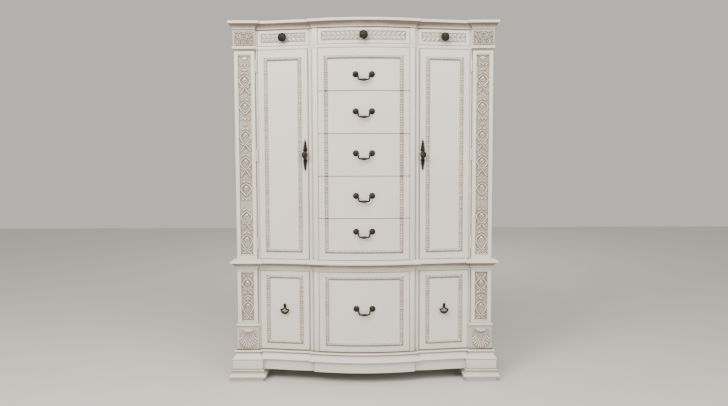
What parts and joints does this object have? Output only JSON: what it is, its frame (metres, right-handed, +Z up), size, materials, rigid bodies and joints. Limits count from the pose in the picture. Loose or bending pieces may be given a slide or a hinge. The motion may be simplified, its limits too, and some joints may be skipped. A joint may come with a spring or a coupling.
{
  "type": "armoire",
  "caption": "Tall bow-fronted armoire with ogee side bays, corner pilasters, doors, drawers, bail pulls, moulded cornice, waist and base, and block feet.",
  "frame": {"origin": "bottom centre of the bounding box, on the floor under the middle of the case", "axes": "+Z up along the height, -Y out of the front, +X to the right of someone facing the front"},
  "size_m": [1.466, 0.529, 1.931],
  "materials": {
    "paint": "antique off-white paint with a brown glaze wiped into the recesses, satin",
    "raw_wood": "unfinished pale hardwood and plywood, matte",
    "aged_bronze": "dark oil-rubbed bronze, satin with worn highlights"
  },
  "bodies": {
    "carcass": {"cornice": "paint", "waist_slab": "paint", "base_frame": "paint", "back_panel": "raw_wood", "frieze_board": "paint", "side_lower_left": "paint", "side_upper_left": "paint", "pilaster_lower_left": "paint", "pilaster_upper_left": "paint", "divider_lower_left": "paint", "divider_upper_left": "paint", "shelf_left": "raw_wood", "foot_front_left": "paint", "foot_rear_left": "paint", "hinge_left_bottom": "paint", "hinge_left_middle": "paint", "hinge_left_top": "paint", "side_lower_right": "paint", "side_upper_right": "paint", "pilaster_lower_right": "paint", "pilaster_upper_right": "paint", "divider_lower_right": "paint", "divider_upper_right": "paint", "shelf_right": "raw_wood", "foot_front_right": "paint", "foot_rear_right": "paint", "hinge_right_bottom": "paint", "hinge_right_middle": "paint", "hinge_right_top": "paint"},
    "frieze_drawer_left": {"frieze_drawer_left": "paint", "frieze_knob_left": "aged_bronze"},
    "frieze_drawer_centre": {"frieze_drawer_centre": "paint", "frieze_knob_centre": "aged_bronze"},
    "frieze_drawer_right": {"frieze_drawer_right": "paint", "frieze_knob_right": "aged_bronze"},
    "drawer_1": {"drawer_front_1": "paint", "drawer_box_1": "raw_wood"},
    "drawer_2": {"drawer_front_2": "paint", "drawer_box_2": "raw_wood"},
    "drawer_3": {"drawer_front_3": "paint", "drawer_box_3": "raw_wood"},
    "drawer_4": {"drawer_front_4": "paint", "drawer_box_4": "raw_wood"},
    "drawer_5": {"drawer_front_5": "paint", "drawer_box_5": "raw_wood"},
    "lower_drawer_left": {"lower_drawer_left": "paint"},
    "lower_drawer_centre": {"lower_drawer_centre": "paint"},
    "lower_drawer_right": {"lower_drawer_right": "paint"},
    "bail_1": {"bail_1": "aged_bronze"},
    "bail_2": {"bail_2": "aged_bronze"},
    "bail_3": {"bail_3": "aged_bronze"},
    "bail_4": {"bail_4": "aged_bronze"},
    "bail_5": {"bail_5": "aged_bronze"},
    "bail_lower": {"bail_lower": "aged_bronze"},
    "drop_left": {"drop_left": "aged_bronze"},
    "drop_right": {"drop_right": "aged_bronze"},
    "door_left": {"door_left": "paint", "door_handle_left": "aged_bronze"},
    "door_right": {"door_right": "paint", "door_handle_right": "aged_bronze"}
  },
  "joints": [
    {"name": "frieze_drawer_left_slide", "type": "slide", "parent": "carcass", "child": "frieze_drawer_left", "axis": [0, -1, 0], "range_m": [0, 0.3]},
    {"name": "frieze_drawer_centre_slide", "type": "slide", "parent": "carcass", "child": "frieze_drawer_centre", "axis": [0, -1, 0], "range_m": [0, 0.3]},
    {"name": "frieze_drawer_right_slide", "type": "slide", "parent": "carcass", "child": "frieze_drawer_right", "axis": [0, -1, 0], "range_m": [0, 0.3]},
    {"name": "drawer_1_slide", "type": "slide", "parent": "carcass", "child": "drawer_1", "axis": [0, -1, 0], "range_m": [0, 0.32]},
    {"name": "drawer_2_slide", "type": "slide", "parent": "carcass", "child": "drawer_2", "axis": [0, -1, 0], "range_m": [0, 0.32]},
    {"name": "drawer_3_slide", "type": "slide", "parent": "carcass", "child": "drawer_3", "axis": [0, -1, 0], "range_m": [0, 0.32]},
    {"name": "drawer_4_slide", "type": "slide", "parent": "carcass", "child": "drawer_4", "axis": [0, -1, 0], "range_m": [0, 0.32]},
    {"name": "drawer_5_slide", "type": "slide", "parent": "carcass", "child": "drawer_5", "axis": [0, -1, 0], "range_m": [0, 0.32]},
    {"name": "lower_drawer_left_slide", "type": "slide", "parent": "carcass", "child": "lower_drawer_left", "axis": [0, -1, 0], "range_m": [0, 0.3]},
    {"name": "lower_drawer_centre_slide", "type": "slide", "parent": "carcass", "child": "lower_drawer_centre", "axis": [0, -1, 0], "range_m": [0, 0.32]},
    {"name": "lower_drawer_right_slide", "type": "slide", "parent": "carcass", "child": "lower_drawer_right", "axis": [0, -1, 0], "range_m": [0, 0.3]},
    {"name": "bail_1_swing", "type": "hinge", "parent": "drawer_1", "child": "bail_1", "pos_m": [0, -0.24677, 1.6461], "axis": [-1, 0, 0], "range_deg": [0, 95]},
    {"name": "bail_2_swing", "type": "hinge", "parent": "drawer_2", "child": "bail_2", "pos_m": [0, -0.24677, 1.4543], "axis": [-1, 0, 0], "range_deg": [0, 95]},
    {"name": "bail_3_swing", "type": "hinge", "parent": "drawer_3", "child": "bail_3", "pos_m": [0, -0.24677, 1.2355], "axis": [-1, 0, 0], "range_deg": [0, 95]},
    {"name": "bail_4_swing", "type": "hinge", "parent": "drawer_4", "child": "bail_4", "pos_m": [0, -0.24677, 1.0117], "axis": [-1, 0, 0], "range_deg": [0, 95]},
    {"name": "bail_5_swing", "type": "hinge", "parent": "drawer_5", "child": "bail_5", "pos_m": [0, -0.24677, 0.8219], "axis": [-1, 0, 0], "range_deg": [0, 95]},
    {"name": "bail_lower_swing", "type": "hinge", "parent": "lower_drawer_centre", "child": "bail_lower", "pos_m": [0, -0.24677, 0.408], "axis": [-1, 0, 0], "range_deg": [0, 95]},
    {"name": "drop_left_swing", "type": "hinge", "parent": "lower_drawer_left", "child": "drop_left", "pos_m": [-0.43175, -0.18091, 0.405], "axis": [-0.9863, 0.1648, 0], "range_deg": [0, 80]},
    {"name": "drop_right_swing", "type": "hinge", "parent": "lower_drawer_right", "child": "drop_right", "pos_m": [0.43175, -0.18091, 0.405], "axis": [-0.9863, -0.1648, 0], "range_deg": [0, 80]},
    {"name": "door_left_swing", "type": "hinge", "parent": "carcass", "child": "door_left", "pos_m": [-0.5745, -0.1585, 1.22], "axis": [0, 0, -1], "range_deg": [0, 105]},
    {"name": "door_right_swing", "type": "hinge", "parent": "carcass", "child": "door_right", "pos_m": [0.5745, -0.1585, 1.22], "axis": [0, 0, 1], "range_deg": [0, 105]}
  ]
}
